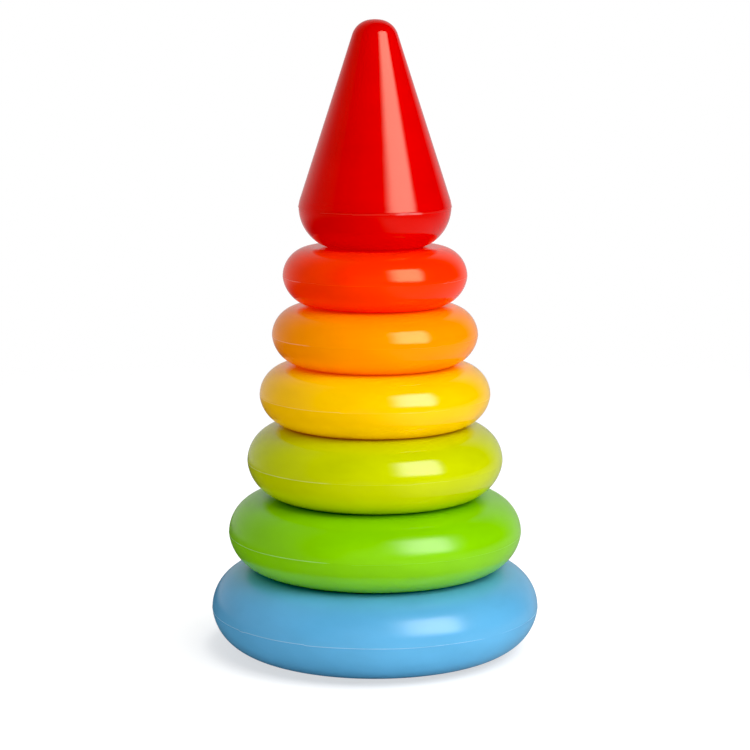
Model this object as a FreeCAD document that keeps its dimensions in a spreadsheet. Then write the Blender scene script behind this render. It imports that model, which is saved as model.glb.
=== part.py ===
import FreeCAD, Part

import math
import os

import Sketcher
from FreeCAD import Placement, Rotation, Vector

# A stacking ring toy: a base with an upright post, five rings that drop over the post, and a cone on top.
# The base, each ring and the cone are two thin mouldings that meet at a seam round the widest diameter.
# The lower moulding has a tongue at the seam, and the upper one a rabbet that takes it.
# Millimetres. The origin is the middle of the base's underside, and +Z runs up the post.

DIMENSIONS = (
    # alias, value, what it is
    ("wall", 2.0, "thickness of every moulded shell"),
    ("base_radius", 66.0, "largest radius of the blue base"),
    ("base_half", 16.2, "half the height of the blue base"),
    ("green_radius", 59.0, "largest radius of the green ring"),
    ("green_half", 14.6, "half the height of the green ring"),
    ("lime_radius", 51.3, "largest radius of the lime ring"),
    ("lime_half", 14.5, "half the height of the lime ring"),
    ("yellow_radius", 46.2, "largest radius of the yellow ring"),
    ("yellow_half", 12.2, "half the height of the yellow ring"),
    ("orange_radius", 41.1, "largest radius of the orange ring"),
    ("orange_half", 11.8, "half the height of the orange ring"),
    ("scarlet_radius", 36.7, "largest radius of the scarlet ring"),
    ("scarlet_half", 11.8, "half the height of the scarlet ring"),
    ("upper_edge_ratio", 1.0, "width of an upper shell's rounded edge as a share of its half height"),
    ("lower_edge_ratio", 1.1, "the same share for a lower shell, whose edge is a little shallower"),
    ("bore_radius", 12.0, "radius of the hole through a ring"),
    ("bore_edge", 3.0, "rounding where a ring's face turns into its hole"),
    ("seam_lip", 1.0, "thickness of the lip outside the tongue"),
    ("seam_gap", 0.1, "clearance between the tongue and the lip"),
    ("tongue_height", 2.0, "height of the tongue above the seam"),
    ("rabbet_height", 2.2, "height of the rabbet above the seam"),
    ("post_radius", 10.0, "radius of the post"),
    ("post_reach", 36.0, "how far the post stands above the highest ring"),
    ("flange_radius", 17.0, "radius of the flange at the post's foot"),
    ("flange_height", 3.0, "thickness of that flange"),
    ("recess_radius", 38.0, "radius of the shallow recess under the base"),
    ("recess_height", 1.2, "depth of that recess"),
    ("collar_gap", 0.2, "clearance between the flange and the collar round it"),
    ("collar_height", 8.0, "height of the collar above the base's floor"),
    ("hub_gap", 0.1, "clearance between the post and the hub that holds it in the base"),
    ("mouth_edge", 1.5, "rounding at the mouth of the hub and of the cone's socket"),
    ("cone_radius", 30.2, "largest radius of the cone"),
    ("cone_height", 73.2, "height of the cone above its seam"),
    ("cone_angle", 17.9, "slope of the cone's side from upright, in degrees"),
    ("shoulder_radius", 10.0, "rounding between the cone's seam and its side"),
    ("tip_radius", 8.3, "rounding of the cone's tip"),
    ("crown_radius", 17.0, "flatter rounding over the top of the tip"),
    ("bowl_height", 15.7, "depth of the bowl below the cone's seam"),
    ("bowl_flat", 17.0, "radius of the flat underside of the bowl"),
    ("bowl_heel", 10.5, "rounding between that flat and the side of the bowl"),
    ("socket_gap", 0.5, "clearance between the post and the cone's socket"),
    ("socket_room", 2.0, "air above the post in the socket"),
    ("gusset_width", 1.6, "thickness of a gusset"),
    ("base_gusset_reach", 50.0, "radius at which the base's gussets end"),
    ("cone_gusset_reach", 20.0, "radius at which the cone's gussets end"),
    ("cone_gusset_height", 12.0, "height of the cone's gussets above the bowl's floor"),
    ("gusset_toe", 1.5, "height of a gusset where it ends"),
)

RINGS = ("green", "lime", "yellow", "orange", "scarlet")
UPPER, LOWER = 1, -1
BASE_GUSSETS = 6
CONE_GUSSETS = 4
# Sketcher's numbers for an edge's points, and for a sketch's own axes.
START, END, CENTRE = 1, 2, 3
X_AXIS, Y_AXIS = -1, -2
ZERO_SIZE = 1e-9
FULL_TURN = 360.0


class Size:
    """A number that carries the spreadsheet formula it comes from, so that a sketch can be bound to it."""

    def __init__(self, value, formula):
        self.value = float(value)
        self.formula = formula

    def __float__(self):
        return self.value

    def __add__(self, other):
        other = as_size(other)
        return Size(self.value + other.value, f"({self.formula} + {other.formula})")

    def __sub__(self, other):
        other = as_size(other)
        return Size(self.value - other.value, f"({self.formula} - {other.formula})")

    def __mul__(self, other):
        other = as_size(other)
        return Size(self.value * other.value, f"({self.formula} * {other.formula})")

    def __rmul__(self, other):
        return as_size(other) * self

    def __truediv__(self, other):
        other = as_size(other)
        return Size(self.value / other.value, f"({self.formula} / {other.formula})")

    def __neg__(self):
        return Size(-self.value, f"(-1 * {self.formula})")


def as_size(number):
    return number if isinstance(number, Size) else Size(number, str(float(number)))


D = {alias: Size(value, f"Dims.{alias}") for alias, value, _ in DIMENSIONS}
ZERO = as_size(0)


def make_sheet(doc):
    sheet = doc.addObject("Spreadsheet::Sheet", "Dims")
    for row, (alias, value, note) in enumerate(DIMENSIONS, start=1):
        sheet.set(f"A{row}", note)
        sheet.set(f"B{row}", str(value))
        sheet.setAlias(f"B{row}", alias)
    doc.recompute()


def angle_from(centre, point):
    return math.atan2(point[1] - centre[1], point[0] - centre[0])


class Section:
    """A closed outline on its body's XZ plane, where x is the radius and y the height above the body's zero.

    Its lines and arcs are drawn one after another where they belong. hold and the other calls then bind
    them, and close joins them, so that every section is fully constrained.
    """

    def __init__(self, body, name, x, y):
        self.sketch = body.newObject("Sketcher::SketchObject", name)
        plane = next(f for f in body.Origin.OriginFeatures if f.Role == "XZ_Plane")
        self.sketch.AttachmentSupport = [(plane, "")]
        self.sketch.MapMode = "FlatFace"
        self.here = (as_size(x), as_size(y))
        self.edges = {}
        self.smooth = set()

    def line(self, name, x, y, smooth=False):
        """A straight edge to (x, y), held level or upright if it is drawn so."""
        there = (as_size(x), as_size(y))
        (x1, y1), (x2, y2) = self._floats(self.here), self._floats(there)
        index = self.sketch.addGeometry(Part.LineSegment(Vector(x1, y1, 0), Vector(x2, y2, 0)), False)
        if math.isclose(y1, y2, abs_tol=ZERO_SIZE):
            self.sketch.addConstraint(Sketcher.Constraint("Horizontal", index))
        elif math.isclose(x1, x2, abs_tol=ZERO_SIZE):
            self.sketch.addConstraint(Sketcher.Constraint("Vertical", index))
        self._note(name, index, {START: START, END: END}, {START: self.here, END: there}, smooth)

    def arc(self, name, x, y, centre, smooth=False):
        """The shorter arc about centre to (x, y)."""
        there = (as_size(x), as_size(y))
        centre = tuple(as_size(value) for value in centre)
        middle, first, last = (self._floats(point) for point in (centre, self.here, there))
        circle = Part.Circle(Vector(*middle, 0), Vector(0, 0, 1), math.dist(middle, first))
        angles = [angle_from(middle, first), angle_from(middle, last)]
        ends = {START: START, END: END, CENTRE: CENTRE}
        if (angles[1] - angles[0]) % (2 * math.pi) > math.pi:
            angles.reverse()
            ends.update({START: END, END: START})
        index = self.sketch.addGeometry(Part.ArcOfCircle(circle, *angles), False)
        self._note(name, index, ends, {START: self.here, END: there, CENTRE: centre}, smooth)

    @staticmethod
    def _floats(point):
        return float(point[0]), float(point[1])

    def _note(self, name, index, ends, places, smooth):
        self.edges[name] = {"index": index, "ends": ends, "places": places}
        if smooth:
            self.smooth.add(name)
        self.here = places[END]

    def _point(self, name, end):
        edge = self.edges[name]
        return edge["index"], edge["ends"][end]

    def _bind(self, constraint, label, size):
        index = self.sketch.addConstraint(constraint)
        self.sketch.renameConstraint(index, label)
        self.sketch.setExpression(f"Constraints.{label}", size.formula)

    def hold(self, name, end, axes="xy"):
        """Binds the x, the y or both of an edge's start, end or centre to the sizes it was drawn at."""
        point = self._point(name, end)
        for axis in axes:
            size = self.edges[name]["places"][end]["xy".index(axis)]
            if abs(float(size)) < ZERO_SIZE:
                line = Y_AXIS if axis == "x" else X_AXIS
                self.sketch.addConstraint(Sketcher.Constraint("PointOnObject", *point, line))
                continue
            kind = "DistanceX" if axis == "x" else "DistanceY"
            ends = (X_AXIS, START, *point)
            if float(size) < 0:
                size = -size
                ends = (*point, X_AXIS, START)
            self._bind(Sketcher.Constraint(kind, *ends, float(size)), f"{name}_{axis}{end}", size)

    def hold_radius(self, name, size):
        index = self.edges[name]["index"]
        self._bind(Sketcher.Constraint("Radius", index, float(size)), f"{name}_radius", size)

    def hold_lean(self, name, size):
        """Binds how far a straight edge leans back from upright, in degrees."""
        lean = size + 90
        turn = math.radians(float(lean))
        self._bind(Sketcher.Constraint("Angle", self.edges[name]["index"], turn), f"{name}_lean", lean)

    def concentric(self, name, other):
        points = (*self._point(name, CENTRE), *self._point(other, CENTRE))
        self.sketch.addConstraint(Sketcher.Constraint("Coincident", *points))

    def parallel(self, name, other):
        indices = (self.edges[name]["index"], self.edges[other]["index"])
        self.sketch.addConstraint(Sketcher.Constraint("Parallel", *indices))

    def close(self):
        """Joins each edge to the next, and the last to the first."""
        names = list(self.edges)
        for before, after in zip(names, names[1:] + names[:1]):
            kind = "Tangent" if after in self.smooth else "Coincident"
            points = (*self._point(before, END), *self._point(after, START))
            self.sketch.addConstraint(Sketcher.Constraint(kind, *points))


def new_body(doc, label, height):
    """A body whose own zero stands at that height on the post's axis."""
    body = doc.addObject("PartDesign::Body", label)
    body.Label = label
    body.Placement = Placement(Vector(0, 0, float(height)), Rotation())
    body.setExpression("Placement.Base.z", height.formula)
    return body


def revolve(body, section):
    section.close()
    turned = body.newObject("PartDesign::Revolution", f"{body.Label}_turned")
    turned.Profile = section.sketch
    turned.ReferenceAxis = (section.sketch, ["V_Axis"])
    turned.Angle = FULL_TURN
    body.Tip = turned
    return turned


def add_gussets(body, count, floor, start, reach, height):
    """Upright fins round the axis. Their feet stand in the floor, and they slope down from start to reach."""
    foot = floor - D["wall"] / 2
    toe = floor + D["gusset_toe"]
    s = Section(body, f"{body.Label}_gusset_section", start, foot)
    s.line("foot", reach, foot)
    s.line("end", reach, toe)
    s.line("slope", start, floor + height)
    s.line("root", start, foot)
    s.close()
    s.hold("foot", START)
    s.hold("foot", END, "x")
    s.hold("end", END, "y")
    s.hold("slope", END, "y")
    fin = body.newObject("PartDesign::Pad", f"{body.Label}_gusset")
    fin.Profile = s.sketch
    fin.SideType = "Symmetric"
    fin.setExpression("Length", D["gusset_width"].formula)
    fins = body.newObject("PartDesign::PolarPattern", f"{body.Label}_gussets")
    fins.Originals = [fin]
    fins.Axis = (s.sketch, ["V_Axis"])
    fins.Angle = FULL_TURN
    fins.Occurrences = count
    body.Tip = fins


def edge_shape(half, side):
    """Width of a rounded edge, and the radius of its arc, which is level at the face."""
    width = D["upper_edge_ratio" if side == UPPER else "lower_edge_ratio"] * half
    return width, (width * width + half * half) / (2 * half)


def seam_step(side):
    """How far in from its outer face a shell's seam steps, and how high the step is.

    The upper shell has a rabbet there, and the lower shell the tongue that goes into it.
    """
    if side == UPPER:
        return D["seam_lip"], D["rabbet_height"]
    return D["seam_lip"] + D["seam_gap"], D["tongue_height"]


def start_at_rim(body, radius, half, side):
    """Starts a section at the seam and takes it round the outer edge to the flat face."""
    width, bend = edge_shape(half, side)
    s = Section(body, f"{body.Label}_section", radius, ZERO)
    s.arc("rim", radius - width, side * half, (radius - width, side * (half - bend)))
    s.hold("rim", START)
    s.hold("rim", END)
    return s


def end_at_seam(s, radius, half, side):
    """Takes a section from the inside of the shell round the inner edge to the seam, where it began."""
    width, bend = edge_shape(half, side)
    rise = seam_step(side)[1]
    middle = (radius - width, side * (half - bend))
    reach = math.sqrt(float(bend - D["wall"]) ** 2 - float(rise - middle[1]) ** 2)
    s.arc("inner_rim", float(middle[0]) + reach, rise, middle, smooth="inner_face" in s.edges)
    finish_seam(s, radius, side)
    s.concentric("inner_rim", "rim")


def finish_seam(s, radius, side):
    """The step in the seam, and the seam's own face."""
    depth, rise = seam_step(side)
    s.line("shelf", radius - depth, rise)
    s.line("step", radius - depth, ZERO)
    s.line("seam", radius, ZERO)
    s.hold("shelf", END)


def ring_shell(doc, colour, side, height):
    name = "upper" if side == UPPER else "lower"
    body = new_body(doc, f"{colour}_ring_{name}_shell", height)
    radius, half = D[f"{colour}_radius"], D[f"{colour}_half"]
    wall, bore, edge = D["wall"], D["bore_radius"], D["bore_edge"]
    depth, rise = seam_step(side)
    corner = (bore + edge, side * (half - edge))
    s = start_at_rim(body, radius, half, side)
    s.line("face", bore + edge, side * half, smooth=True)
    s.arc("mouth", bore, side * (half - edge), corner, smooth=True)
    s.line("bore", bore, ZERO, smooth=True)
    s.line("bore_seam", bore + depth, ZERO)
    s.line("bore_step", bore + depth, rise)
    s.line("bore_shelf", bore + wall, rise)
    s.line("inner_bore", bore + wall, side * (half - edge))
    s.arc("inner_mouth", bore + edge, side * (half - wall), corner, smooth=True)
    s.line("inner_face", radius - edge_shape(half, side)[0], side * (half - wall), smooth=True)
    end_at_seam(s, radius, half, side)
    s.hold_radius("mouth", edge)
    s.hold("bore", END)
    s.hold("bore_step", END)
    s.concentric("inner_mouth", "mouth")
    s.hold_radius("inner_mouth", edge - wall)
    revolve(body, s)
    return body


def base_upper_shell(doc, height):
    """The base's dished top, with the hub that comes down on the post's flange."""
    body = new_body(doc, "base_upper_shell", height)
    radius, half, wall = D["base_radius"], D["base_half"], D["wall"]
    hub, edge = D["post_radius"] + D["hub_gap"], D["mouth_edge"]
    foot = D["recess_height"] + wall + D["flange_height"] - half
    s = start_at_rim(body, radius, half, UPPER)
    s.line("face", hub + edge, half, smooth=True)
    s.arc("mouth", hub, half - edge, (hub + edge, half - edge), smooth=True)
    s.line("hub_bore", hub, foot, smooth=True)
    s.line("hub_foot", hub + wall, foot)
    s.line("hub_side", hub + wall, half - wall)
    s.line("inner_face", radius - edge_shape(half, UPPER)[0], half - wall)
    end_at_seam(s, radius, half, UPPER)
    s.hold_radius("mouth", edge)
    s.hold("hub_bore", END)
    s.hold("hub_foot", END, "x")
    s.hold("hub_side", END, "y")
    revolve(body, s)
    return body


def base_lower_shell(doc, height):
    """The base's underside: a flat ring to stand on, a floor, and a collar that centres the post's flange."""
    body = new_body(doc, "base_lower_shell", height)
    radius, half, wall = D["base_radius"], D["base_half"], D["wall"]
    roof = D["recess_height"] - half
    floor = roof + wall
    collar = D["flange_radius"] + D["collar_gap"]
    width, bend = edge_shape(half, LOWER)
    rim_depth = float(floor + half - bend)
    s = start_at_rim(body, radius, half, LOWER)
    s.line("land", D["recess_radius"], -half, smooth=True)
    s.line("recess_side", D["recess_radius"], roof)
    s.line("recess_roof", ZERO, roof)
    s.line("axis", ZERO, floor)
    s.line("floor", collar, floor)
    s.line("collar_bore", collar, floor + D["collar_height"])
    s.line("collar_top", collar + wall, floor + D["collar_height"])
    s.line("collar_side", collar + wall, floor)
    s.line("outer_floor", float(radius - width) + math.sqrt(float(bend - wall) ** 2 - rim_depth**2), floor)
    end_at_seam(s, radius, half, LOWER)
    s.hold("recess_side", END)
    s.hold("axis", END, "y")
    s.hold("collar_bore", END)
    s.hold("collar_top", END, "x")
    s.hold("collar_side", END, "y")
    s.hold("recess_roof", END, "x")
    s.hold_radius("inner_rim", bend - wall)
    revolve(body, s)
    gusset_end, gusset_height = D["base_gusset_reach"], D["collar_height"] - D["gusset_toe"]
    add_gussets(body, BASE_GUSSETS, floor, collar + wall / 2, gusset_end, gusset_height)
    return body


def post(doc, stack_top):
    """A tube with a domed top, and at its foot a flange that the base's two shells hold between them."""
    foot = D["recess_height"] + D["wall"]
    body = new_body(doc, "post", foot)
    radius, wall, flange = D["post_radius"], D["wall"], D["flange_height"]
    top = stack_top + D["post_reach"] - foot
    s = Section(body, "post_section", radius, flange)
    s.line("side", radius, top - radius)
    s.arc("dome", ZERO, top, (ZERO, top - radius), smooth=True)
    s.line("axis", ZERO, top - wall)
    s.arc("inner_dome", radius - wall, top - radius, (ZERO, top - radius))
    s.line("inner_side", radius - wall, ZERO, smooth=True)
    s.line("foot", D["flange_radius"], ZERO)
    s.line("flange_side", D["flange_radius"], flange)
    s.line("flange_top", radius, flange)
    s.hold("side", START)
    s.hold("dome", CENTRE, "x")
    s.hold("dome", END)
    s.hold("axis", END, "y")
    s.concentric("inner_dome", "dome")
    s.hold("foot", START, "y")
    s.hold("foot", END, "x")
    revolve(body, s)
    return body


def cone_upper_shell(doc, height):
    """The tall cone above the seam, with a rounded tip."""
    body = new_body(doc, "cone_upper_shell", height)
    radius, wall = D["cone_radius"], D["wall"]
    shoulder, tip, crown = D["shoulder_radius"], D["tip_radius"], D["crown_radius"]
    lean = math.radians(float(D["cone_angle"]))
    out = Vector(math.cos(lean), math.sin(lean), 0)
    along = Vector(-math.sin(lean), math.cos(lean), 0)
    shoulder_at = Vector(float(radius - shoulder), 0, 0)
    crown_at = Vector(0, float(D["cone_height"] - crown), 0)
    # The tip's arc lies its own radius inside the cone's side, and touches the crown's arc from within.
    tip_out = (shoulder_at - crown_at).dot(out) + float(shoulder - tip)
    tip_along = math.sqrt(float(crown - tip) ** 2 - tip_out**2)
    tip_at = crown_at + out * tip_out + along * tip_along
    to_tip = (tip_at - crown_at).normalize()

    def place(centre, size, direction):
        point = centre + direction * float(size)
        return point.x, point.y

    s = Section(body, "cone_upper_shell_section", radius, ZERO)
    s.arc("shoulder", *place(shoulder_at, shoulder, out), (radius - shoulder, ZERO))
    s.line("side", *place(tip_at, tip, out), smooth=True)
    s.arc("tip", *place(crown_at, crown, to_tip), (tip_at.x, tip_at.y), smooth=True)
    s.arc("crown", ZERO, D["cone_height"], (ZERO, D["cone_height"] - crown), smooth=True)
    s.line("axis", ZERO, D["cone_height"] - wall)
    s.arc("inner_crown", *place(crown_at, crown - wall, to_tip), (ZERO, D["cone_height"] - crown))
    s.arc("inner_tip", *place(tip_at, tip - wall, out), (tip_at.x, tip_at.y), smooth=True)
    s.line("inner_side", *place(shoulder_at, shoulder - wall, out), smooth=True)
    rise = seam_step(UPPER)[1]
    reach = math.sqrt(float(shoulder - wall) ** 2 - float(rise) ** 2)
    s.arc("inner_shoulder", shoulder_at.x + reach, rise, (radius - shoulder, ZERO), smooth=True)
    finish_seam(s, radius, UPPER)
    s.hold("shoulder", START)
    s.hold("shoulder", CENTRE)
    s.hold_lean("side", D["cone_angle"])
    s.hold_radius("tip", tip)
    s.hold("crown", CENTRE)
    s.hold("crown", END)
    s.hold("axis", END, "y")
    s.concentric("inner_crown", "crown")
    s.concentric("inner_tip", "tip")
    s.concentric("inner_shoulder", "shoulder")
    s.parallel("inner_side", "side")
    revolve(body, s)
    return body


def cone_lower_shell(doc, height):
    """The bowl below the cone's seam, with a closed socket on its floor that drops over the post."""
    body = new_body(doc, "cone_lower_shell", height)
    radius, wall, deep = D["cone_radius"], D["wall"], D["bowl_height"]
    flat, heel, edge = D["bowl_flat"], D["bowl_heel"], D["mouth_edge"]
    socket = D["post_radius"] + D["socket_gap"]
    roof = D["post_reach"] + D["socket_room"] - deep
    # The side's arc is upright at the seam, and the heel's arc touches it from within.
    width = radius - flat
    side = (width * width + deep * deep - 2 * (deep * heel)) / (2 * (width - heel))
    side_at = Vector(float(radius - side), 0, 0)
    heel_at = Vector(float(flat), float(heel - deep), 0)
    to_heel = (heel_at - side_at).normalize()
    meet = side_at + to_heel * float(side)
    inner_meet = side_at + to_heel * float(side - wall)
    s = Section(body, "cone_lower_shell_section", radius, ZERO)
    s.arc("side", meet.x, meet.y, (radius - side, ZERO))
    s.arc("heel", flat, -deep, (flat, heel - deep), smooth=True)
    s.line("underside", socket + edge, -deep, smooth=True)
    s.arc("mouth", socket, edge - deep, (socket + edge, edge - deep), smooth=True)
    s.line("socket_bore", socket, roof, smooth=True)
    s.line("socket_roof", ZERO, roof)
    s.line("axis", ZERO, roof + wall)
    s.line("socket_top", socket + wall, roof + wall)
    s.line("socket_side", socket + wall, wall - deep)
    s.line("floor", flat, wall - deep)
    s.arc("inner_heel", inner_meet.x, inner_meet.y, (flat, heel - deep), smooth=True)
    rise = seam_step(LOWER)[1]
    reach = math.sqrt(float(side - wall) ** 2 - float(rise) ** 2)
    s.arc("inner_side", side_at.x + reach, rise, (radius - side, ZERO), smooth=True)
    finish_seam(s, radius, LOWER)
    s.hold("side", START)
    s.hold("side", CENTRE, "y")
    s.hold("heel", END)
    s.hold_radius("heel", heel)
    s.hold_radius("mouth", edge)
    s.hold("socket_bore", END)
    s.hold("socket_roof", END, "x")
    s.hold("socket_top", END)
    s.hold("socket_side", END, "y")
    s.concentric("inner_heel", "heel")
    s.concentric("inner_side", "side")
    revolve(body, s)
    gusset_end, gusset_height = D["cone_gusset_reach"], D["cone_gusset_height"]
    add_gussets(body, CONE_GUSSETS, wall - deep, socket + wall / 2, gusset_end, gusset_height)
    return body


def build_toy(doc):
    """Every piece, from the table up. Each ring stands face to face on the piece below it."""
    seam = D["base_half"]
    bodies = [base_lower_shell(doc, seam), base_upper_shell(doc, seam)]
    top = 2 * seam
    for colour in RINGS:
        seam = top + D[f"{colour}_half"]
        bodies += [ring_shell(doc, colour, LOWER, seam), ring_shell(doc, colour, UPPER, seam)]
        top = seam + D[f"{colour}_half"]
    bodies.append(post(doc, top))
    seam = top + D["bowl_height"]
    bodies += [cone_lower_shell(doc, seam), cone_upper_shell(doc, seam)]
    return bodies


def check(doc, bodies):
    """Stops the build if anything failed, a sketch is loose, or a piece isn't one valid solid."""
    for item in doc.Objects:
        if {"Invalid", "Error"} & set(item.State):
            raise RuntimeError(f"{item.Name} is {item.State}")
        if item.TypeId == "Sketcher::SketchObject" and (item.solve() or not item.FullyConstrained):
            raise RuntimeError(f"{item.Name} isn't fully constrained")
    for body in bodies:
        shape = body.Shape
        if shape.isNull() or not shape.isValid() or len(shape.Solids) != 1:
            raise RuntimeError(f"{body.Label} isn't one valid solid")
        if shape.Volume <= 0:
            raise RuntimeError(f"{body.Label} has no volume")


def main():
    os.makedirs("parts", exist_ok=True)
    doc = FreeCAD.newDocument("stacking_ring_toy")
    make_sheet(doc)
    bodies = build_toy(doc)
    doc.recompute()
    check(doc, bodies)
    for body in bodies:
        body.Shape.exportStep(f"parts/{body.Label}.step")
        print(f"{body.Label}: {body.Shape.Volume / 1000:.2f} cm3")


main()
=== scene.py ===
import math

import bmesh
import bpy
from mathutils import Matrix, Vector, noise


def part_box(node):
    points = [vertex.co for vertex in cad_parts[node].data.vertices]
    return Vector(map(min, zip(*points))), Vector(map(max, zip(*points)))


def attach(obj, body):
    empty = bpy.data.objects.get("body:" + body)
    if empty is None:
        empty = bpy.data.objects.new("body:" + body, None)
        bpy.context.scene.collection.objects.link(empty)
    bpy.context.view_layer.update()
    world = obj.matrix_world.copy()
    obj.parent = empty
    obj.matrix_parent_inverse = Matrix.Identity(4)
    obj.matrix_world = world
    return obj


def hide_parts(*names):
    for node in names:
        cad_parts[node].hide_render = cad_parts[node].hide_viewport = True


# The looks of the stacking ring toy: each moulded shell is lathed again as a finer mesh with the slight
# unevenness of a real moulding, a trimmed line of flash runs round each seam, and every piece is glossy
# plastic. Metres. The front of the toy faces -Y, and angles round the post run from there towards +X.

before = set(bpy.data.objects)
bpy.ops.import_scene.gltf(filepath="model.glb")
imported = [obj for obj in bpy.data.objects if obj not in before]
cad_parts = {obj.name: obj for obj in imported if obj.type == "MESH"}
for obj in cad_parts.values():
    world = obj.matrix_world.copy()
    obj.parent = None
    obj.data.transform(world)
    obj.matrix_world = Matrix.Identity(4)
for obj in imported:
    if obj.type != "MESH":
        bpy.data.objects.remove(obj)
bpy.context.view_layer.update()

MM = 0.001
SEGMENTS = 240
RINGS = ("green", "lime", "yellow", "orange", "scarlet")
UPPER, LOWER = 1, -1
# A point of an outline nearer than this to the axis is on it.
ON_AXIS = 1e-7

# Sizes of the mouldings that no node's box gives.
WALL = 2.0 * MM
UPPER_EDGE_RATIO, LOWER_EDGE_RATIO = 1.0, 1.1
BORE_RADIUS = 12.0 * MM
BORE_EDGE = 3.0 * MM
SEAM_LIP = 1.0 * MM
SEAM_GAP = 0.1 * MM
TONGUE = 2.0 * MM
RABBET = 2.2 * MM
RECESS_RADIUS = 38.0 * MM
RECESS_HEIGHT = 1.2 * MM
FLANGE_RADIUS = 17.0 * MM
FLANGE_HEIGHT = 3.0 * MM
COLLAR_GAP = 0.2 * MM
COLLAR_HEIGHT = 8.0 * MM
POST_RADIUS = 10.0 * MM
HUB_GAP = 0.1 * MM
SOCKET_GAP = 0.5 * MM
SOCKET_ROOM = 2.0 * MM
POST_REACH = 36.0 * MM
MOUTH_EDGE = 1.5 * MM
SHOULDER_RADIUS = 10.0 * MM
CONE_ANGLE = math.radians(17.9)
TIP_RADIUS = 8.3 * MM
CROWN_RADIUS = 17.0 * MM
BOWL_FLAT = 17.0 * MM
BOWL_HEEL = 10.5 * MM
GUSSET_WIDTH = 1.6 * MM
GUSSET_TOE = 1.5 * MM
BASE_GUSSETS, BASE_GUSSET_REACH = 6, 50.0 * MM
CONE_GUSSETS, CONE_GUSSET_REACH, CONE_GUSSET_HEIGHT = 4, 20.0 * MM, 12.0 * MM

# The moulding's unevenness: two layers of smooth noise along the surface's normal.
SWELL_HEIGHT, SWELL_LENGTH = 0.05 * MM, 26.0 * MM
RIPPLE_HEIGHT, RIPPLE_LENGTH = 0.012 * MM, 8.0 * MM


def around(angle, radius, height):
    """A point at that angle round the post, in degrees from the front."""
    turn = math.radians(angle)
    return Vector((math.sin(turn) * radius, -math.cos(turn) * radius, height))


class Outline:
    """A closed outline in the plane of radius and height. Its skin is the stretch that shows on the toy."""

    def __init__(self, radius, height):
        self.points = [(radius, height)]
        self.skin = [True]

    def line(self, radius, height, steps=1, skin=False):
        r0, z0 = self.points[-1]
        for step in range(1, steps + 1):
            share = step / steps
            self.points.append((r0 + (radius - r0) * share, z0 + (height - z0) * share))
            self.skin.append(skin)

    def arc(self, centre, radius, height, steps, skin=False):
        """The shorter arc about centre to that point."""
        r0, z0 = self.points[-1]
        size = math.hypot(r0 - centre[0], z0 - centre[1])
        start = math.atan2(z0 - centre[1], r0 - centre[0])
        sweep = math.atan2(height - centre[1], radius - centre[0]) - start
        sweep = (sweep + math.pi) % (2 * math.pi) - math.pi
        for step in range(1, steps + 1):
            angle = start + sweep * step / steps
            self.points.append((centre[0] + size * math.cos(angle), centre[1] + size * math.sin(angle)))
            self.skin.append(skin)

    def normals(self):
        """Unit normals at the points, out of the solid, whichever way round the outline was drawn."""
        following = self.points[1:] + self.points[:1]
        area = sum(ra * zb - rb * za for (ra, za), (rb, zb) in zip(self.points, following))
        side = 1 if area > 0 else -1
        found = []
        for i, (rb, zb) in enumerate(following):
            ra, za = self.points[i - 1]
            along = Vector((rb - ra, zb - za)).normalized()
            found.append((along.y * side, -along.x * side))
        return found


def unevenness(point, seed):
    """How far the moulding stands out at that point."""
    sample = point + Vector((seed, -seed, seed * 0.5))
    swell = noise.noise(sample / SWELL_LENGTH) * SWELL_HEIGHT
    ripple = noise.noise(sample / RIPPLE_LENGTH) * RIPPLE_HEIGHT
    return swell + ripple


def lathe(name, outline, seed, fins=()):
    """Turns an outline round the post, with unevenness where its skin faces outwards, and adds any fins."""
    mesh = bpy.data.meshes.new(name)
    bm = bmesh.new()
    rows = []
    for (radius, height), skin, (out, up) in zip(outline.points, outline.skin, outline.normals()):
        if radius < ON_AXIS:
            rows.append([bm.verts.new((0, 0, height))])
            continue
        row = []
        for step in range(SEGMENTS):
            turn = 360 * step / SEGMENTS
            point = around(turn, radius, height)
            if skin:
                push = unevenness(point, seed) * abs(out)
                point = around(turn, radius + out * push, height + up * push)
            row.append(bm.verts.new(point))
        rows.append(row)
    for row, following in zip(rows, rows[1:] + rows[:1]):
        join_rows(bm, row, following)
    for fin in fins:
        add_fin(bm, *fin)
    bmesh.ops.recalc_face_normals(bm, faces=bm.faces)
    bm.to_mesh(mesh)
    bm.free()
    return finish_mesh(name, mesh)


def join_rows(bm, row, following):
    """Faces between two neighbouring rows of points, either of which may be one point on the axis."""
    if len(row) == 1 and len(following) == 1:
        return
    for i in range(SEGMENTS):
        here, there = (i % len(row), (i + 1) % len(row)), (i % len(following), (i + 1) % len(following))
        corners = (row[here[0]], row[here[1]], following[there[1]], following[there[0]])
        bm.faces.new(list(dict.fromkeys(corners)))


def add_fin(bm, turn, start, reach, foot, floor, height):
    """An upright fin that stands with its foot in the floor, and slopes down outwards."""
    side = Vector((math.cos(math.radians(turn)), math.sin(math.radians(turn)), 0)) * GUSSET_WIDTH / 2
    corners = [(start, foot), (reach, foot), (reach, floor + GUSSET_TOE), (start, floor + height)]
    faces = []
    for sign in (1, -1):
        faces.append([bm.verts.new(around(turn, r, z) + side * sign) for r, z in corners])
    bm.faces.new(faces[0])
    bm.faces.new(faces[1][::-1])
    for i in range(4):
        j = (i + 1) % 4
        bm.faces.new((faces[0][j], faces[0][i], faces[1][i], faces[1][j]))


def finish_mesh(name, mesh, crease=35):
    """An object of that mesh, shaded smooth except where it turns by more than the crease."""
    for polygon in mesh.polygons:
        polygon.use_smooth = True
    mesh.set_sharp_from_angle(angle=math.radians(crease))
    piece = bpy.data.objects.new(name, mesh)
    bpy.context.scene.collection.objects.link(piece)
    return piece


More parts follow.
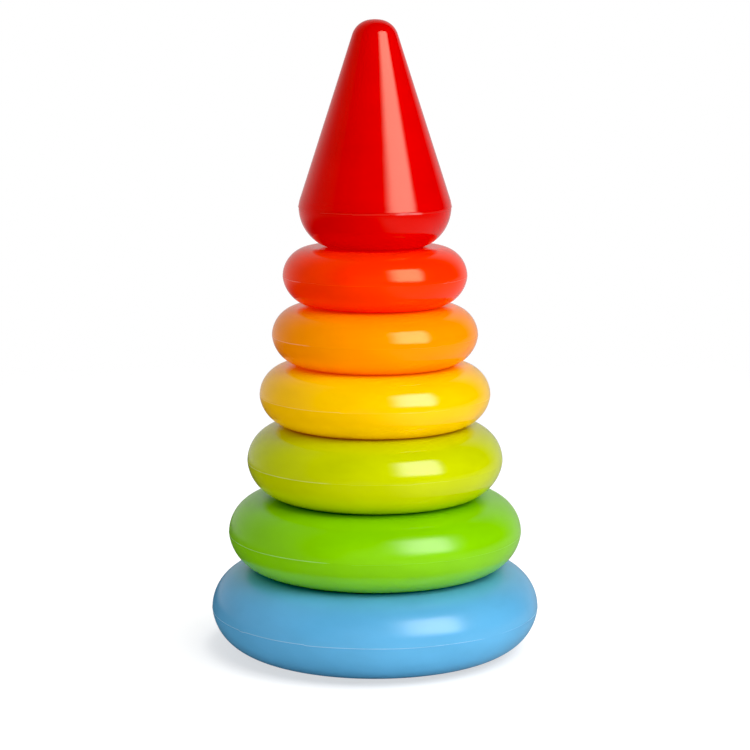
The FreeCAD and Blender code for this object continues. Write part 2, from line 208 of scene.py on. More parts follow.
def place(piece, body, slot, material, *nodes):
    """Makes a piece ride on its body, stand for its CAD nodes and take its finish."""
    piece.data.materials.append(material)
    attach(piece, body)
    if nodes:
        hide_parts(*nodes)


# The mouldings


def edge_shape(half, side):
    """Width of a rounded edge, and the radius of its arc."""
    width = (UPPER_EDGE_RATIO if side == UPPER else LOWER_EDGE_RATIO) * half
    return width, (width * width + half * half) / (2 * half)


def seam_step(side):
    """Depth and height of the step in a seam: a rabbet above it, and a tongue below."""
    return (SEAM_LIP, RABBET) if side == UPPER else (SEAM_LIP + SEAM_GAP, TONGUE)


def rim(radius, half, seam, side):
    """An outline that starts at the seam and goes round the outer edge to the flat face."""
    width, bend = edge_shape(half, side)
    outline = Outline(radius, seam)
    centre = (radius - width, seam + side * (half - bend))
    outline.arc(centre, radius - width, seam + side * half, steps=30, skin=True)
    return outline


def back_to_seam(outline, radius, half, seam, side):
    """The inside of the rounded edge, and the step in the seam."""
    width, bend = edge_shape(half, side)
    depth, rise = seam_step(side)
    centre = (radius - width, seam + side * (half - bend))
    reach = math.sqrt((bend - WALL) ** 2 - (seam + rise - centre[1]) ** 2)
    outline.arc(centre, centre[0] + reach, seam + rise, steps=12)
    outline.line(radius - depth, seam + rise)
    outline.line(radius - depth, seam)


def ring_outline(radius, half, seam, side):
    """One shell of a ring: its rounded edge, its flat face and the wall of its hole."""
    depth, rise = seam_step(side)
    outline = rim(radius, half, seam, side)
    corner = (BORE_RADIUS + BORE_EDGE, seam + side * (half - BORE_EDGE))
    outline.line(BORE_RADIUS + BORE_EDGE, seam + side * half, steps=6)
    outline.arc(corner, BORE_RADIUS, corner[1], steps=6)
    outline.line(BORE_RADIUS, seam, steps=2)
    outline.line(BORE_RADIUS + depth, seam)
    outline.line(BORE_RADIUS + depth, seam + rise)
    outline.line(BORE_RADIUS + WALL, seam + rise)
    outline.line(BORE_RADIUS + WALL, corner[1], steps=2)
    outline.arc(corner, corner[0], seam + side * (half - WALL), steps=3)
    outline.line(radius - edge_shape(half, side)[0], seam + side * (half - WALL), steps=4)
    back_to_seam(outline, radius, half, seam, side)
    return outline


def base_upper_outline(radius, half, seam):
    """The base's upper shell: its rounded edge, its flat top and the hub that holds the post down."""
    hub = POST_RADIUS + HUB_GAP
    foot = RECESS_HEIGHT + WALL + FLANGE_HEIGHT
    top = seam + half
    outline = rim(radius, half, seam, UPPER)
    outline.line(hub + MOUTH_EDGE, top, steps=8)
    outline.arc((hub + MOUTH_EDGE, top - MOUTH_EDGE), hub, top - MOUTH_EDGE, steps=5)
    outline.line(hub, foot, steps=3)
    outline.line(hub + WALL, foot)
    outline.line(hub + WALL, top - WALL, steps=3)
    outline.line(radius - edge_shape(half, UPPER)[0], top - WALL, steps=6)
    back_to_seam(outline, radius, half, seam, UPPER)
    return outline


def base_lower_outline(radius, half, seam):
    """The base's lower shell: its rounded edge, its foot with a shallow recess, and the post's collar."""
    width, bend = edge_shape(half, LOWER)
    floor = RECESS_HEIGHT + WALL
    collar = FLANGE_RADIUS + COLLAR_GAP
    floor_edge = radius - width + math.sqrt((bend - WALL) ** 2 - (bend - floor) ** 2)
    outline = rim(radius, half, seam, LOWER)
    outline.line(RECESS_RADIUS, 0, steps=2)
    outline.line(RECESS_RADIUS, RECESS_HEIGHT)
    outline.line(0, RECESS_HEIGHT, steps=6)
    outline.line(0, floor)
    outline.line(collar, floor, steps=3)
    outline.line(collar, floor + COLLAR_HEIGHT)
    outline.line(collar + WALL, floor + COLLAR_HEIGHT)
    outline.line(collar + WALL, floor)
    outline.line(floor_edge, floor, steps=4)
    back_to_seam(outline, radius, half, seam, LOWER)
    return outline


# The cone's upper shell flares into a thin lip above its seam.
LIP_HEIGHT, LIP_REACH = 1.8 * MM, 0.2 * MM


def cone_upper_outline(radius, top, seam):
    """The cone's upper shell: a rounded shoulder, a straight flank, a rounded tip and its crown."""
    rise = seam_step(UPPER)[1]
    out = Vector((math.cos(CONE_ANGLE), math.sin(CONE_ANGLE)))
    along = Vector((-math.sin(CONE_ANGLE), math.cos(CONE_ANGLE)))
    shoulder_at = Vector((radius - SHOULDER_RADIUS, seam))
    crown_at = Vector((0, top - CROWN_RADIUS))
    tip_out = (shoulder_at - crown_at).dot(out) + SHOULDER_RADIUS - TIP_RADIUS
    tip_along = math.sqrt((CROWN_RADIUS - TIP_RADIUS) ** 2 - tip_out**2)
    tip_at = crown_at + out * tip_out + along * tip_along
    to_tip = (tip_at - crown_at).normalized()
    outline = Outline(radius, seam)
    outline.arc(shoulder_at, *(shoulder_at + out * SHOULDER_RADIUS), steps=14, skin=True)
    outline.line(*(tip_at + out * TIP_RADIUS), steps=36, skin=True)
    outline.arc(tip_at, *(crown_at + to_tip * CROWN_RADIUS), steps=16, skin=True)
    outline.arc(crown_at, 0, top, steps=8, skin=True)
    for i, (r, z) in enumerate(outline.points):
        if z - seam < LIP_HEIGHT:
            outline.points[i] = (r + LIP_REACH * (1 - (z - seam) / LIP_HEIGHT) ** 2, z)
    outline.line(0, top - WALL)
    outline.arc(crown_at, *(crown_at + to_tip * (CROWN_RADIUS - WALL)), steps=4)
    outline.arc(tip_at, *(tip_at + out * (TIP_RADIUS - WALL)), steps=8)
    outline.line(*(shoulder_at + out * (SHOULDER_RADIUS - WALL)), steps=8)
    reach = math.sqrt((SHOULDER_RADIUS - WALL) ** 2 - rise**2)
    outline.arc(shoulder_at, shoulder_at.x + reach, seam + rise, steps=4)
    outline.line(radius - SEAM_LIP, seam + rise)
    outline.line(radius - SEAM_LIP, seam)
    return outline


def cone_lower_outline(radius, bottom, seam):
    """The cone's bowl: a side that rounds into its flat foot, and the socket that drops over the post."""
    depth, rise = seam_step(LOWER)
    deep = seam - bottom
    socket = POST_RADIUS + SOCKET_GAP
    roof = bottom + POST_REACH + SOCKET_ROOM
    width = radius - BOWL_FLAT
    side = (width * width + deep * deep - 2 * deep * BOWL_HEEL) / (2 * (width - BOWL_HEEL))
    side_at = Vector((radius - side, seam))
    heel_at = Vector((BOWL_FLAT, bottom + BOWL_HEEL))
    to_heel = (heel_at - side_at).normalized()
    outline = Outline(radius, seam)
    outline.arc(side_at, *(side_at + to_heel * side), steps=14, skin=True)
    outline.arc(heel_at, BOWL_FLAT, bottom, steps=16, skin=True)
    outline.line(socket + MOUTH_EDGE, bottom, steps=2)
    outline.arc((socket + MOUTH_EDGE, bottom + MOUTH_EDGE), socket, bottom + MOUTH_EDGE, steps=5)
    outline.line(socket, roof, steps=6)
    outline.line(0, roof, steps=3)
    outline.line(0, roof + WALL)
    outline.line(socket + WALL, roof + WALL, steps=3)
    outline.line(socket + WALL, bottom + WALL, steps=6)
    outline.line(BOWL_FLAT, bottom + WALL, steps=2)
    outline.arc(heel_at, *(side_at + to_heel * (side - WALL)), steps=8)
    reach = math.sqrt((side - WALL) ** 2 - rise**2)
    outline.arc(side_at, side_at.x + reach, seam + rise, steps=8)
    outline.line(radius - depth, seam + rise)
    outline.line(radius - depth, seam)
    return outline


# The flash along a seam: a thin ridge, heavier on some arcs, that strays a little up and down.

FLASH_SEGMENTS = 720
# Where the ridge's points lie across its crest and its back, as shares of its half height.
FLASH_CREST = (-1.0, -0.8, -0.5, -0.2, 0.1, 0.4, 0.7, 1.0)
FLASH_BACK = (0.7, -0.7)
# How far its edges are sunk into the shells, and how deep its back lies.
FLASH_SINK, FLASH_DEPTH = 0.012 * MM, 0.6 * MM
# How high and how proud the faintest flash is, as shares of the heaviest.
FAINT_HEIGHT, FAINT_PROUD = 0.65, 0.2
# The strength between heavy stretches, the least that flicker leaves, and the degrees of a stretch's fade.
FAINTEST_FLASH, LEAST_FLASH, FLASH_FADE = 0.12, 0.05, 6
# Layers of flicker: the radius of the circle that each takes from the noise, and its share.
FLICKERS = ((9, 0.35), (40, 0.2))
# Heavy stretches are also painted paler: partly whitened flash, partly a painted glint where the seam catches
# the light, as on the front left and under the cone's highlight.
FLASH_ARCS = {
    # body: (angle of the arc's middle, half its width, strength) for each heavy stretch
    "base": ((-45, 50, 1.0), (12, 28, 0.75), (80, 14, 0.5), (165, 40, 0.7)),
    "green_ring": ((-58, 40, 1.0), (75, 22, 0.25), (170, 50, 0.6)),
    "lime_ring": ((-52, 32, 0.8), (20, 14, 0.35), (140, 40, 0.7)),
    "yellow_ring": ((-45, 30, 0.45), (25, 14, 0.35), (190, 50, 0.6)),
    "orange_ring": ((-60, 22, 0.9), (30, 12, 0.2), (130, 45, 0.6)),
    "scarlet_ring": ((-66, 14, 0.7), (62, 16, 0.4), (175, 40, 0.6)),
    "cone": ((26, 11, 0.6), (170, 40, 0.3)),
}
# How far the ridge wanders, and the radius of the circle that the wandering takes from the noise.
FLASH_STRAY, STRAY_CIRCLE = 0.14 * MM, 3
# The jogs: how many, how high, and in degrees how wide, how sudden and how unevenly spaced.
FLASH_JOGS, JOG_HEIGHT, JOG_SPREAD, JOG_SUDDENNESS, JOG_SCATTER = 9, 0.12 * MM, 7, 0.35, 31


def degrees_away(turn, middle):
    """How far round the post an angle is from another, from -180 to 180."""
    return (turn - middle + 180) % 360 - 180


def flash_strength(turn, arcs, seed):
    """How heavy the flash is at that angle, from 0 to 1."""
    strength = FAINTEST_FLASH
    for middle, half, most in arcs:
        inside = half + FLASH_FADE / 2 - abs(degrees_away(turn, middle))
        fade = min(max(inside / FLASH_FADE, 0), 1)
        strength = max(strength, most * fade * fade * (3 - 2 * fade))
    flicker = sum(noise.noise(around(turn, circle, seed)) * share for circle, share in FLICKERS)
    return min(max(strength * (1 + flicker), LEAST_FLASH), 1)


def flash_height(turn, seed):
    """How far the flash strays from its seam: slow wandering and a few sudden jogs."""
    wander = noise.noise(around(turn, STRAY_CIRCLE, seed + 7)) * FLASH_STRAY
    jogs = 0
    for k in range(FLASH_JOGS):
        middle = k * 360 / FLASH_JOGS + JOG_SCATTER * math.sin(seed * 3.1 + k * 2.3)
        away = degrees_away(turn, middle)
        step = math.exp(-((away / JOG_SPREAD) ** 2)) * math.tanh(away / JOG_SUDDENNESS)
        jogs += step * (1 if k % 2 else -1)
    return wander + jogs * JOG_HEIGHT


def flash_ridge(name, radius, seam, lean_up, lean_down, arcs, seed, half_height, proud, drop=0.0):
    """A thin closed ridge over the seam. lean_up and lean_down are how far the shells fall back beside it."""
    mesh = bpy.data.meshes.new(name)
    bm = bmesh.new()
    layer = bm.verts.layers.float.new("flash")
    rows = []
    for step in range(FLASH_SEGMENTS):
        turn = 360 * step / FLASH_SEGMENTS
        strength = flash_strength(turn, arcs, seed)
        middle = seam - drop + flash_height(turn, seed)
        half = half_height * (FAINT_HEIGHT + (1 - FAINT_HEIGHT) * strength)
        row = []
        for t in FLASH_CREST:
            height = middle + half * t
            lean = lean_up(height - seam) if height > seam else lean_down(seam - height)
            ridge = proud * (FAINT_PROUD + (1 - FAINT_PROUD) * strength) * (1 - t * t)
            row.append(bm.verts.new(around(turn, radius - lean + ridge - FLASH_SINK, height)))
        for t in FLASH_BACK:
            row.append(bm.verts.new(around(turn, radius - FLASH_DEPTH, middle + half * t)))
        for vertex in row:
            vertex[layer] = strength
        rows.append(row)
    for row, following in zip(rows, rows[1:] + rows[:1]):
        for i in range(len(row)):
            j = (i + 1) % len(row)
            bm.faces.new((row[i], following[i], following[j], row[j]))
    bmesh.ops.recalc_face_normals(bm, faces=bm.faces)
    bm.to_mesh(mesh)
    bm.free()
    return finish_mesh(name, mesh, crease=60)


# Materials


class Shading:
    """Short ways to fill the node tree of a material or a world. Values are sockets, numbers or colours."""

    def __init__(self, owner):
        owner.use_nodes = True
        self.nodes, self.links = owner.node_tree.nodes, owner.node_tree.links
        self.nodes.clear()

    def add(self, kind, inputs=None, **settings):
        """A new node with those inputs, which are linked where they are sockets."""
        node = self.nodes.new(kind)
        for key, value in settings.items():
            setattr(node, key, value)
        for key, value in (inputs or {}).items():
            if isinstance(value, bpy.types.NodeSocket):
                self.links.new(value, node.inputs[key])
            else:
                node.inputs[key].default_value = value
        return node

    def math(self, operation, *values):
        node = self.add("ShaderNodeMath", dict(enumerate(values)), operation=operation)
        return node.outputs["Value"]

    def ranged(self, value, low, high, out_low=0.0, out_high=1.0, smooth=False):
        """The value with low to high mapped onto out_low to out_high, and held at those beyond."""
        inputs = {"Value": value, "From Min": low, "From Max": high, "To Min": out_low, "To Max": out_high}
        interpolation = "SMOOTHSTEP" if smooth else "LINEAR"
        return self.add("ShaderNodeMapRange", inputs, interpolation_type=interpolation).outputs["Result"]

    def noise(self, coords, scale, detail, stretch=(1, 1, 1)):
        mapping = self.add("ShaderNodeMapping", {"Vector": coords, "Scale": stretch})
        inputs = {"Vector": mapping.outputs["Vector"], "Scale": scale, "Detail": detail, "Roughness": 0.55}
        return self.add("ShaderNodeTexNoise", inputs).outputs["Fac"]

    def split(self, vector):
        return self.add("ShaderNodeSeparateXYZ", {"Vector": vector}).outputs

    def length(self, vector):
        return self.add("ShaderNodeVectorMath", {0: vector}, operation="LENGTH").outputs["Value"]

    def blended(self, share, colour, other):
        """That share of the way from a colour to another."""
        inputs = {"Factor": share, "A": colour, "B": other}
        return self.add("ShaderNodeMix", inputs, data_type="RGBA").outputs["Result"]

    def bump(self, height, strength, distance, **inputs):
        inputs.update({"Height": height, "Strength": strength, "Distance": distance})
        return self.add("ShaderNodeBump", inputs).outputs["Normal"]


def linear(red, green, blue):
    """A colour from its usual 0 to 255 values."""

    def channel(value):
        share = value / 255
        return share / 12.92 if share <= 0.04045 else ((share + 0.055) / 1.055) ** 2.4

    return channel(red), channel(green), channel(blue), 1.0


def scaled(colour, share):
    return tuple(value * share for value in colour[:3]) + (1.0,)


def mixed(colour, other, share):
    return tuple(a + (b - a) * share for a, b in zip(colour[:3], other[:3])) + (1.0,)


PLASTIC_IOR = 1.53

# The noise behind each effect in the plastic: its scale and detail, and how it is squeezed along X, Y and Z.
SWIRL_NOISE = (38, 3, (1, 1, 2.2))
CLOUD_NOISE = (55, 2)
SCUFF_NOISE = (900, 2, (1, 1, 0.12))
TOOL_MARK_NOISE = (26, 4, (1, 1, 40))
PEEL_NOISE = (650, 2)
# The values of the noise between which an effect comes in.
SWIRL_RANGE, CLOUD_RANGE, SCUFF_RANGE = (0.35, 0.65), (0.3, 0.7), (0.62, 0.75)

# How much the pigment's depth and the gloss vary, and how much scuffs roughen it.
SWIRL, CLOUDS, SCUFFS = 0.04, 0.12, 0.08
# Strength and depth of the relief.
TOOL_MARKS = (0.06, 0.05 * MM)
PEEL = (0.08, 0.02 * MM)
# A denoiser takes a rougher gloss than this for matt, and would show where one turns into the other.
ROUGHEST = 0.27
# How much rougher the faces are where the pieces rest on each other and rub, and what gloss is left there.
WORN_ROUGHNESS, WORN_GLOSS = 0.3, 0.2
FULL_GLOSS = 0.5
# The width over which the wear fades, and between which upward parts of the normal a face counts as flat.
WORN_EDGE, FLAT_RANGE = 3.0 * MM, (0.985, 0.998)
# The flash's paleness is partly whitened trimmed flash and partly a painted highlight where the seam catches
# the light.
# The strengths between which the flash turns pale, and how far it turns.
PALE_GLINT_RANGE, FLASH_PALENESS_AND_GLINT = (0.15, 0.9), 0.9


def worn_share(shading, coords, contact):
    """1 on the flat faces out to the contact radius, where they touch the next piece, and 0 elsewhere."""
    tilt = shading.math("ABSOLUTE", shading.split(coords["Normal"])["Z"])
    across = shading.add("ShaderNodeVectorMath", {0: coords["Object"], 1: (1, 1, 0)}, operation="MULTIPLY")
    distance = shading.length(across.outputs["Vector"])
    flat = shading.ranged(tilt, *FLAT_RANGE)
    inside = shading.ranged(distance, contact - WORN_EDGE, contact, 1, 0)
    return shading.math("MULTIPLY", flat, inside)


def plastic(name, colour, roughness, gloss, glow, contact, flash=None):
    """Glossy plastic: pigment swirls, uneven gloss, turned tool marks, fine scuffs and worn contact faces.

    contact is how far out the flat faces are worn. flash is the colour heavy flash turns to: partly
    whitening, partly painted glint.
    """
    material = bpy.data.materials.new(name)
    shading = Shading(material)
    coords = shading.add("ShaderNodeTexCoord").outputs

    swirls = shading.ranged(shading.noise(coords["Object"], *SWIRL_NOISE), *SWIRL_RANGE)
    base = shading.blended(swirls, scaled(colour, 1 - SWIRL), scaled(colour, 1 + SWIRL))
    if flash is not None:
        strength = shading.add("ShaderNodeAttribute", attribute_name="flash").outputs["Fac"]
        base = shading.blended(shading.ranged(strength, *PALE_GLINT_RANGE, 0, FLASH_PALENESS_AND_GLINT), base, flash)

    worn = worn_share(shading, coords, contact)
    glossiest, dullest = roughness * (1 - CLOUDS), roughness * (1 + CLOUDS)
    cloud = shading.ranged(shading.noise(coords["Object"], *CLOUD_NOISE), *CLOUD_RANGE, glossiest, dullest)
    scuff = shading.ranged(shading.noise(coords["Object"], *SCUFF_NOISE), *SCUFF_RANGE, 0, SCUFFS)
    uneven = shading.math("MINIMUM", shading.math("ADD", cloud, scuff), max(ROUGHEST, roughness))

    marks = shading.bump(shading.noise(coords["Object"], *TOOL_MARK_NOISE), *TOOL_MARKS)
    relief = shading.bump(shading.noise(coords["Object"], *PEEL_NOISE), *PEEL, Normal=marks)

    inputs = {
        "Base Color": base,
        "Roughness": shading.math("MULTIPLY_ADD", worn, WORN_ROUGHNESS, uneven),
        "IOR": PLASTIC_IOR,
        "Specular IOR Level": shading.ranged(worn, 0, 1, FULL_GLOSS, WORN_GLOSS),
        "Specular Tint": (*gloss, 1.0),
        # Painted glow: the warm pieces emit a little light of their own, so their shaded sides and contact
        # shade stay warm.
        "Emission Color": (*glow, 1.0),
        "Emission Strength": 1.0,
        "Normal": relief,
    }
    shader = shading.add("ShaderNodeBsdfPrincipled", inputs)
    shading.add("ShaderNodeOutputMaterial", {"Surface": shader.outputs["BSDF"]})
    return material


WHITE = linear(255, 255, 255)
COLOURS = {
    # slot: (pigment, roughness, hue of the gloss, painted glow that lifts the shaded sides)
    "blue_plastic": (linear(98, 180, 229), 0.245, (1, 1, 1), (0, 0, 0)),
    "white_plastic": (linear(236, 234, 228), 0.22, (1, 1, 1), (0, 0, 0)),
    "green_plastic": (linear(137, 211, 4), 0.24, (1, 1, 1), (0, 0, 0)),
    "lime_plastic": (linear(200, 211, 2), 0.15, (1, 1, 0.93), (0, 0, 0)),
    "yellow_plastic": (linear(250, 202, 2), 0.15, (1, 1, 1), (0.09, 0.01, 0)),
    "orange_plastic": (linear(252, 148, 1), 0.15, (1, 0.95, 0.5), (0.09, 0.01, 0)),
    "scarlet_plastic": (linear(250, 51, 3), 0.15, (1, 0.95, 0.5), (0.1, 0.002, 0)),
    "red_plastic": (linear(195, 1, 2), 0.14, (1, 0.9, 0.66), (0.16, 0, 0)),
}
BODY_SLOTS = {"base": "blue_plastic", "cone": "red_plastic", **{f"{c}_ring": f"{c}_plastic" for c in RINGS}}
# How rough the flash is, and how far its colour is painted towards white: partly whitened flash, partly a
# painted glint.
FLASH_ROUGHNESS, FLASH_WHITENESS_AND_GLINT = 0.35, 0.22


def contact_radius(body):
    """How far out a body's flat top touches the flat foot of the piece on it."""
    bodies = ("base", *(f"{c}_ring" for c in RINGS))
    if body == bodies[-1] or body not in bodies:
        return BOWL_FLAT
    above = bodies[bodies.index(body) + 1]
    low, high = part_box(f"{above}_lower_shell"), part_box(f"{above}_upper_shell")
    half = (high[1].z - low[0].z) / 2
    return high[1].x - edge_shape(half, LOWER)[0]


contacts = {slot: contact_radius(body) for body, slot in BODY_SLOTS.items()}
contacts["white_plastic"] = 0.0
plastics = {slot: plastic(slot, *finish, contacts[slot]) for slot, finish in COLOURS.items()}
# Each flash keeps its plastic's painted glow, and its heavy stretches are painted paler as a glint.
flashes = {}
for slot, (colour, _, gloss, glow) in COLOURS.items():
    pale = mixed(colour, WHITE, FLASH_WHITENESS_AND_GLINT)
    flashes[slot] = plastic(slot + "_flash", colour, FLASH_ROUGHNESS, gloss, glow, 0.0, flash=pale)


# The toy

# How high each kind of flash ridge is to either side of its seam, and how far it stands out.
RING_RIDGE = (0.135 * MM, 0.04 * MM)
BASE_RIDGE = (0.15 * MM, 0.05 * MM)
CONE_RIDGE = (0.4 * MM, 0.06 * MM)
# The cone's ridge lies this far below its seam, on a bowl that curves about this sharply there.
CONE_RIDGE_DROP, BOWL_BEND = 0.7 * MM, 20.0 * MM


def add_shell(node, outline, body, slot, seed, fins=()):
    """Lathes a moulding in place of its CAD node."""
    shell = lathe(f"{node}_moulded", outline, seed, fins)
    place(shell, body, slot, plastics[slot], node)


def add_ridge(body, radius, seam, leans, seed, size, drop=0.0):
    ridge = flash_ridge(f"{body}_seam_flash", radius, seam, *leans, FLASH_ARCS[body], seed, *size, drop)
    slot = BODY_SLOTS[body]
    place(ridge, body, slot, flashes[slot])


def ring_lean(half, side):
    """How far in a rounded edge has gone at a height from its seam."""
    width, bend = edge_shape(half, side)

    def lean(height):
        return width - math.sqrt(bend**2 - (height + bend - half) ** 2)

    return lean


def gussets(count, start, reach, floor, height):
    """Fins evenly round the post, the first at +X, with their feet in the floor."""
    return [(90 + 360 * k / count, start, reach, floor - WALL / 2, floor, height) for k in range(count)]


def make_ring(colour, seed):
    body = f"{colour}_ring"
    lower, upper = f"{body}_lower_shell", f"{body}_upper_shell"
    radius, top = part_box(upper)[1].x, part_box(upper)[1].z
    seam = (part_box(lower)[0].z + top) / 2
    half = top - seam
    for node, side in ((lower, LOWER), (upper, UPPER)):
        add_shell(node, ring_outline(radius, half, seam, side), body, BODY_SLOTS[body], seed)
    leans = (ring_lean(half, UPPER), ring_lean(half, LOWER))
    add_ridge(body, radius, seam, leans, seed, RING_RIDGE)


def make_base(seed):
    slot = BODY_SLOTS["base"]
    radius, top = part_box("base_upper_shell")[1].x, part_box("base_upper_shell")[1].z
    seam = top / 2
    start = FLANGE_RADIUS + COLLAR_GAP + WALL / 2
    fins = gussets(BASE_GUSSETS, start, BASE_GUSSET_REACH, RECESS_HEIGHT + WALL, COLLAR_HEIGHT - GUSSET_TOE)
    add_shell("base_upper_shell", base_upper_outline(radius, seam, seam), "base", slot, seed)
    add_shell("base_lower_shell", base_lower_outline(radius, seam, seam), "base", slot, seed, fins)
    leans = (ring_lean(seam, UPPER), ring_lean(seam, LOWER))
    add_ridge("base", radius, seam, leans, seed, BASE_RIDGE)


def make_post(seed):
    foot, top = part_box("post")[0].z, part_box("post")[1].z
    outline = Outline(POST_RADIUS, foot + FLANGE_HEIGHT)
    outline.line(POST_RADIUS, top - POST_RADIUS, steps=60, skin=True)
    outline.arc((0, top - POST_RADIUS), 0, top, steps=14, skin=True)
    outline.line(0, top - WALL)
    outline.arc((0, top - POST_RADIUS), POST_RADIUS - WALL, top - POST_RADIUS, steps=8)
    outline.line(POST_RADIUS - WALL, foot, steps=12)
    outline.line(FLANGE_RADIUS, foot)
    outline.line(FLANGE_RADIUS, foot + FLANGE_HEIGHT)
    add_shell("post", outline, "base", "white_plastic", seed)


def make_cone(seed):
    slot = BODY_SLOTS["cone"]
    radius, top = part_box("cone_upper_shell")[1].x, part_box("cone_upper_shell")[1].z
    seam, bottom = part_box("cone_upper_shell")[0].z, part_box("cone_lower_shell")[0].z
    start = POST_RADIUS + SOCKET_GAP + WALL / 2
    fins = gussets(CONE_GUSSETS, start, CONE_GUSSET_REACH, bottom + WALL, CONE_GUSSET_HEIGHT)
    add_shell("cone_upper_shell", cone_upper_outline(radius, top, seam), "cone", slot, seed)
    add_shell("cone_lower_shell", cone_lower_outline(radius, bottom, seam), "cone", slot, seed, fins)

    def flank_lean(height):
        return 0

    def bowl_lean(depth):
        return depth * depth / (2 * BOWL_BEND)

    add_ridge("cone", radius, seam, (flank_lean, bowl_lean), seed, CONE_RIDGE, drop=CONE_RIDGE_DROP)


make_base(seed=1.3)
make_post(seed=11)
for index, colour in enumerate(RINGS):
    make_ring(colour, seed=2.7 + index * 1.9)
make_cone(seed=17.1)


# The studio

# How bright the white surround is: as ambient light, and as the toy mirrors it beside and behind itself.
AMBIENT, MIRRORED_BESIDE, MIRRORED_BEHIND = 0.72, 0.2, 0.5
# Where the surround is white: round this azimuth and elevation, between these cosines, and below a level.
SURROUND_MIDDLE, SURROUND_FADE, SURROUND_BELOW = (-143, -9), (-0.2, 0.28), -0.04
# How far back a direction points, from 0 to 1, where beside turns into behind.
BEHIND_RANGE = (0.2, 0.9)
# How bright the table glows for the camera, and for the light that it throws up at the toy.
FLOOR_GLOW, FLOOR_BOUNCE = 0.62, 0.22
# The toy mirrors the table's right side, where the light falls, more than the rest.
MIRRORED_LEFT, MIRRORED_RIGHT, MIRRORED_WITHIN = 0.05, 0.44, 0.12
# The floor's radius, the radii between which it fades out, and how far it lies under the toy's foot.
FLOOR_RADIUS, FLOOR_FADE, FLOOR_DROP = 1.2, (0.3, 0.8), 0.05 * MM
FLOOR_GREY = (0.36, 0.36, 0.36, 1.0)


def direction(azimuth, elevation):
    """A unit vector at that azimuth round the toy from the front, and that elevation."""
    turn, lift = math.radians(azimuth), math.radians(elevation)
    return Vector((math.sin(turn) * math.cos(lift), -math.cos(turn) * math.cos(lift), math.sin(lift)))


def stage_piece(name, bm):
    """An object of that mesh for the stage, and the shading of its own material."""
    mesh = bpy.data.meshes.new(name)
    bm.to_mesh(mesh)
    bm.free()
    piece = bpy.data.objects.new(name, mesh)
    bpy.context.scene.collection.objects.link(piece)
    material = bpy.data.materials.new(name)
    mesh.materials.append(material)
    return piece, Shading(material)


def make_floor():
    """A pale table, lit from below as well, that fades into the white background."""
    bm = bmesh.new()
    bmesh.ops.create_circle(bm, cap_ends=True, segments=96, radius=FLOOR_RADIUS)
    floor, shading = stage_piece("floor", bm)
    floor.location.z = -FLOOR_DROP
    path = shading.add("ShaderNodeLightPath").outputs
    place_on_floor = shading.add("ShaderNodeTexCoord").outputs["Object"]

    diffuse = shading.add("ShaderNodeBsdfDiffuse", {"Color": FLOOR_GREY})
    bounce = shading.ranged(path["Is Camera Ray"], 0, 1, FLOOR_BOUNCE, FLOOR_GLOW)
    glow = shading.add("ShaderNodeEmission", {"Strength": bounce})
    seen = shading.add("ShaderNodeAddShader", {0: diffuse.outputs["BSDF"], 1: glow.outputs["Emission"]})

    across = shading.split(place_on_floor)["X"]
    brightness = shading.ranged(across, 0, MIRRORED_WITHIN, MIRRORED_LEFT, MIRRORED_RIGHT, smooth=True)
    mirrored = shading.add("ShaderNodeEmission", {"Strength": brightness})
    inputs = {"Fac": path["Is Glossy Ray"], 1: seen.outputs["Shader"], 2: mirrored.outputs["Emission"]}
    table = shading.add("ShaderNodeMixShader", inputs)

    clear = shading.add("ShaderNodeBsdfTransparent")
    fade = shading.ranged(shading.length(place_on_floor), *FLOOR_FADE, smooth=True)
    inputs = {"Fac": fade, 1: table.outputs["Shader"], 2: clear.outputs["BSDF"]}
    faded = shading.add("ShaderNodeMixShader", inputs)
    shading.add("ShaderNodeOutputMaterial", {"Surface": faded.outputs["Shader"]})
    return floor


def make_surround():
    """A white surround behind the toy and to its left, a dark studio in front, and white for the camera."""
    world = bpy.data.worlds.new("studio")
    bpy.context.scene.world = world
    shading = Shading(world)
    path = shading.add("ShaderNodeLightPath").outputs
    outwards = shading.add("ShaderNodeTexCoord").outputs["Generated"]
    towards = shading.split(outwards)

    inputs = {0: outwards, 1: direction(*SURROUND_MIDDLE)}
    nearness = shading.add("ShaderNodeVectorMath", inputs, operation="DOT_PRODUCT").outputs["Value"]
    beside = shading.ranged(nearness, *SURROUND_FADE, smooth=True)
    below = shading.ranged(towards["Z"], 0, SURROUND_BELOW)
    white = shading.math("MAXIMUM", beside, below)
    mirrored = shading.ranged(towards["Y"], *BEHIND_RANGE, MIRRORED_BESIDE, MIRRORED_BEHIND, smooth=True)
    dimming = shading.ranged(path["Is Glossy Ray"], 0, 1, AMBIENT, mirrored)
    lit = shading.math("MULTIPLY", white, dimming)
    strength = shading.math("MAXIMUM", lit, path["Is Camera Ray"])
    background = shading.add("ShaderNodeBackground", {"Color": WHITE, "Strength": strength})
    shading.add("ShaderNodeOutputWorld", {"Surface": background.outputs["Background"]})


def facing(target, azimuth, elevation, distance, yaw=0, tilt=0, roll=0):
    """Where a lamp stands, and its turn from facing the target by yaw, tilt and roll degrees."""
    back = direction(azimuth + yaw, elevation + tilt)
    right = Vector((0, 0, 1)).cross(back).normalized()
    up = back.cross(right)
    turn = math.radians(roll)
    across = right * math.cos(turn) + up * math.sin(turn)
    axes = Matrix((across, back.cross(across), back)).transposed().to_4x4()
    return Matrix.Translation(target + direction(azimuth, elevation) * distance) @ axes


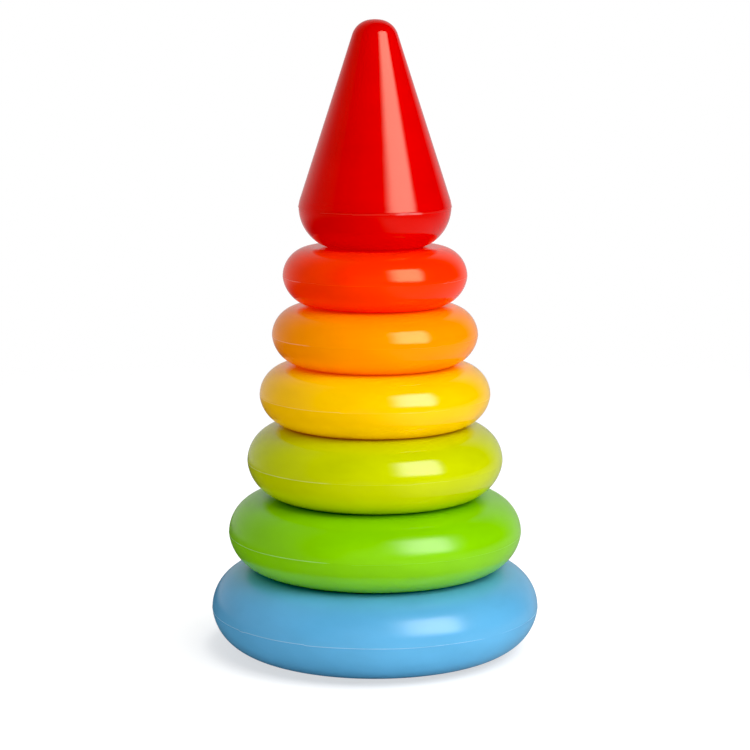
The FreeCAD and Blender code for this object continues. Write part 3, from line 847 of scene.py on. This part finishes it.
def glowing_panel(name, stand, width, height, radiance):
    """A softbox's face, brightest in the middle and fading at its edges, turned as an area light is."""
    bm = bmesh.new()
    bmesh.ops.create_grid(bm, x_segments=1, y_segments=1, size=0.5)
    panel, shading = stage_piece(name, bm)
    panel.matrix_world = stand @ Matrix.Diagonal((width, height, 1, 1))
    panel.visible_camera = False
    on_panel = shading.split(shading.add("ShaderNodeTexCoord").outputs["Object"])

    def edge(axis, dark, bright):
        return shading.ranged(on_panel[axis], dark, bright, smooth=True)

    # Object coordinates run over the panel from -0.5 to 0.5. The left edge fades over the widest stretch.
    sides = shading.math("MULTIPLY", edge("X", -0.5, -0.16), edge("X", 0.46, 0.28))
    ends = shading.math("MULTIPLY", edge("Y", -0.5, -0.42), edge("Y", 0.5, 0.42))
    strength = shading.math("MULTIPLY", shading.math("MULTIPLY", sides, ends), radiance)
    # Like an area light, the panel shines from its local -Z side only.
    behind = shading.add("ShaderNodeNewGeometry").outputs["Backfacing"]
    glow = shading.add("ShaderNodeEmission", {"Strength": shading.math("MULTIPLY", strength, behind)})
    shading.add("ShaderNodeOutputMaterial", {"Surface": glow.outputs["Emission"]})
    return panel


def softbox(name, stand, width, height, power):
    """A rectangular area light that the camera doesn't see."""
    light = bpy.data.lights.new(name, "AREA")
    light.shape = "RECTANGLE"
    light.size, light.size_y, light.energy = width, height, power
    lamp = bpy.data.objects.new(name, light)
    lamp.matrix_world = stand
    lamp.visible_camera = False
    bpy.context.scene.collection.objects.link(lamp)
    return lamp


def light_only(lamp, objects, include):
    """Limits a lamp to those objects, or to all but those."""
    receivers = bpy.data.collections.new(lamp.name + "_receivers")
    for item in objects:
        receivers.objects.link(item)
    for entry in receivers.collection_objects:
        entry.light_linking.link_state = "INCLUDE" if include else "EXCLUDE"
    lamp.light_linking.receiver_collection = receivers


def make_camera(position, pitch, lens):
    """A camera that faces the front of the toy, pitched down by that many degrees."""
    camera_data = bpy.data.cameras.new("camera")
    camera_data.sensor_width = 36.0
    camera_data.lens = lens
    camera = bpy.data.objects.new("camera", camera_data)
    camera.location = position
    camera.rotation_euler = (math.radians(90 - pitch), 0, 0)
    bpy.context.scene.collection.objects.link(camera)
    bpy.context.scene.camera = camera


def set_view(deepest):
    """Plain colour management, whose darkest values clip to pure pigment."""
    view = bpy.context.scene.view_settings
    view.view_transform = "Standard"
    view.look = "None"
    view.use_curve_mapping = True
    view.curve_mapping.black_level = (deepest,) * 3


floor = make_floor()
make_surround()
middle = Vector((0, 0, 0.11))
key_stand = facing(middle, azimuth=43.8, elevation=33.4, distance=1.3, yaw=-3.7, tilt=-17.8, roll=-7.1)
key = glowing_panel("key_softbox", key_stand, width=1.22, height=1.12, radiance=6.1)
light_only(key, [floor], include=False)
table_stand = facing(Vector((0, 0, 0)), azimuth=66, elevation=60, distance=1.2)
table_light = softbox("table_light", table_stand, width=1.5, height=1.5, power=41)
light_only(table_light, [floor], include=True)
# A weak fill from the left, too soft for the toy to mirror.
fill_stand = facing(middle, azimuth=-8, elevation=15, distance=1.2)
fill = softbox("fill_softbox", fill_stand, width=0.8, height=0.8, power=2.6)
fill.visible_glossy = False
light_only(fill, [floor], include=False)
make_camera((0.0, -0.870, 0.2486), pitch=9.02, lens=105.65)
set_view(deepest=0.009)
